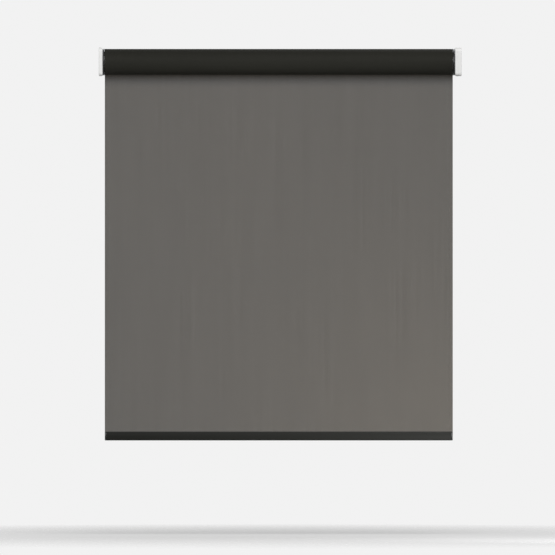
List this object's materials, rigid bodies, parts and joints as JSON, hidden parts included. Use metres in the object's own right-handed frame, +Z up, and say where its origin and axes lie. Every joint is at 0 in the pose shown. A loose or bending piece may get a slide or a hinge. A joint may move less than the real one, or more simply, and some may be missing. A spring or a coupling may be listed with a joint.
{
  "type": "roller blind",
  "caption": "Motorised roller blind with a screen cloth rolled off the back of a tube, clip-on bracket covers and a slim bottom bar.",
  "frame": {"origin": "on the roller's axis, midway between the outer faces of the two brackets", "axes": "+X right along the roller towards the motor end, +Y back to the wall, +Z up"},
  "size_m": [0.8, 0.0887, 0.867],
  "materials": {
    "white_plastic": "fine satin moulding",
    "black_plastic": "fine satin moulding",
    "pale_nylon": "natural nylon",
    "zinc_steel": "zinc plated",
    "bright_steel": "bright",
    "mill_aluminium": "mill finish",
    "dark_bar": "satin dark anodised",
    "screen_cloth": "charcoal screen weave",
    "rubber": "matt",
    "circuit_board": "solder mask",
    "cell_sleeve": "shrink sleeve",
    "bronze": "sintered",
    "clear_lens": "clear"
  },
  "bodies": {
    "root": {"bracket_left": "zinc_steel", "cover_left": "white_plastic", "pin_seat": "pale_nylon", "bracket_right": "zinc_steel", "cover_right": "white_plastic", "fixing_screw_left_upper": "bright_steel", "fixing_screw_left_lower": "bright_steel", "fixing_screw_right_upper": "bright_steel", "fixing_screw_right_lower": "bright_steel", "motor_adapter": "black_plastic", "adapter_screw_front": "bright_steel", "adapter_screw_rear": "bright_steel", "motor_head": "black_plastic", "motor_casing": "mill_aluminium", "casing_screw_front": "bright_steel", "casing_screw_rear": "bright_steel", "button_switch": "black_plastic", "button_spring": "bright_steel", "status_lens": "clear_lens", "charge_socket": "bright_steel", "control_board": "circuit_board", "battery_cell_1": "cell_sleeve", "battery_cell_2": "cell_sleeve", "battery_cell_3": "cell_sleeve", "cell_cradle": "black_plastic", "dc_motor": "zinc_steel", "motor_damper": "rubber", "first_reducer": "zinc_steel", "gear_case": "pale_nylon", "casing_nose": "black_plastic", "output_bearing": "bronze", "idle_core": "pale_nylon", "spring_cap": "pale_nylon", "idle_spring": "bright_steel", "fabric_sheet": "screen_cloth"},
    "roller": {"roller_tube": "mill_aluminium", "fabric_roll": "screen_cloth", "fabric_spline": "pale_nylon", "idle_plug": "black_plastic", "idle_bearing": "bronze", "crown_ring": "black_plastic", "planet_carrier": "bright_steel", "drive_wheel": "black_plastic", "drive_screw": "bright_steel"},
    "bar": {"bottom_bar": "dark_bar", "bar_spline": "pale_nylon", "bar_cap_left": "black_plastic", "bar_cap_right": "black_plastic"},
    "sun": {"sun_gear": "bright_steel"},
    "planet_1": {"planet_gear_1": "pale_nylon"},
    "planet_2": {"planet_gear_2": "pale_nylon"},
    "planet_3": {"planet_gear_3": "pale_nylon"},
    "pin": {"idle_pin": "bright_steel"},
    "button": {"control_button": "black_plastic"},
    "port_cover": {"charge_cover": "rubber"}
  },
  "joints": [
    {"name": "roller_spin", "type": "hinge", "parent": "root", "child": "roller", "pos_m": [0, 0, 0], "axis": [1, 0, 0], "range_deg": [0, 1540]},
    {"name": "bar_lift", "type": "slide", "parent": "root", "child": "bar", "axis": [0, 0, 1], "range_m": [0, 0.78], "deforming": ["fabric_sheet"]},
    {"name": "sun_spin", "type": "hinge", "parent": "root", "child": "sun", "pos_m": [0.0309, 0, 0], "axis": [1, 0, 0], "range_deg": [0, 6935]},
    {"name": "planet_1_spin", "type": "hinge", "parent": "roller", "child": "planet_1", "pos_m": [0.0309, 0.00877, 0], "axis": [1, 0, 0], "range_deg": [-4315, 0]},
    {"name": "planet_2_spin", "type": "hinge", "parent": "roller", "child": "planet_2", "pos_m": [0.0309, -0.00439, 0.0076], "axis": [1, 0, 0], "range_deg": [-4315, 0]},
    {"name": "planet_3_spin", "type": "hinge", "parent": "roller", "child": "planet_3", "pos_m": [0.0309, -0.00439, -0.0076], "axis": [1, 0, 0], "range_deg": [-4315, 0]},
    {"name": "pin_slide", "type": "slide", "parent": "root", "child": "pin", "axis": [1, 0, 0], "range_m": [0, 0.0065], "stiffness_N_per_m": 900, "springref_m": -0.004, "deforming": ["idle_spring"]},
    {"name": "button_press", "type": "slide", "parent": "root", "child": "button", "axis": [0, 0, 1], "range_m": [0, 0.0012], "stiffness_N_per_m": 300, "springref_m": -0.003, "deforming": ["button_spring"]},
    {"name": "port_cover_pull", "type": "slide", "parent": "root", "child": "port_cover", "axis": [0, 0, -1], "range_m": [0, 0.008]}
  ],
  "couplings": [
    {"joint": "bar_lift", "follows": "roller_spin", "m_per_rad": 0.029},
    {"joint": "sun_spin", "follows": "roller_spin", "ratio": 4.5},
    {"joint": "planet_1_spin", "follows": "roller_spin", "ratio": -2.8},
    {"joint": "planet_2_spin", "follows": "roller_spin", "ratio": -2.8},
    {"joint": "planet_3_spin", "follows": "roller_spin", "ratio": -2.8}
  ]
}
